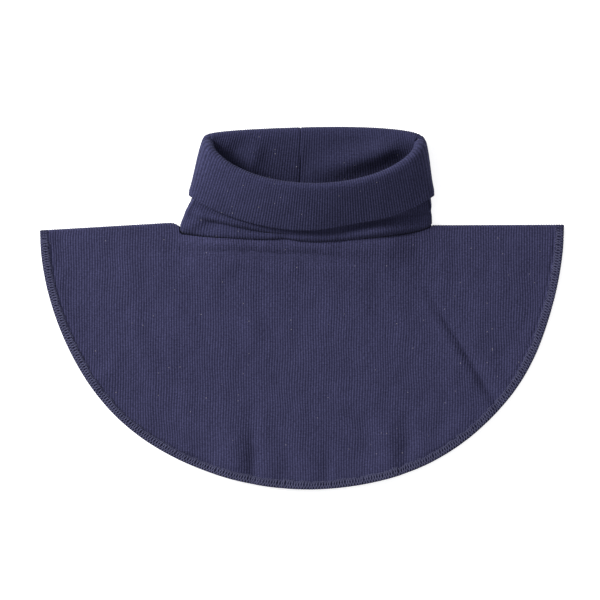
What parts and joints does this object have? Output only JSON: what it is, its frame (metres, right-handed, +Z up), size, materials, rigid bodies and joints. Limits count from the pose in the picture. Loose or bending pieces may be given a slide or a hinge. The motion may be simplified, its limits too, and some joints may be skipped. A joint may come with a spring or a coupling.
{
  "type": "neck warmer",
  "caption": "Rib-knit neck warmer lying flat: a round cape folded in half at the shoulders, with a turned-down polo collar.",
  "frame": {"origin": "on the surface it lies on, under the middle of its outline", "axes": "+X to the right along the shoulder fold, +Y from the cape's hem towards the collar's mouth, +Z up from the surface, out of the front leaf"},
  "size_m": [0.3309, 0.2288, 0.0314],
  "materials": {
    "cape_rib": "matte rib-knit cotton",
    "collar_rib": "matte rib-knit cotton, two plies",
    "edge_thread": "matte overlocking thread"
  },
  "bodies": {
    "root": {"cape": "cape_rib", "cape_yoke": "cape_rib", "collar": "collar_rib", "edge_overlock": "edge_thread"}
  },
  "joints": []
}
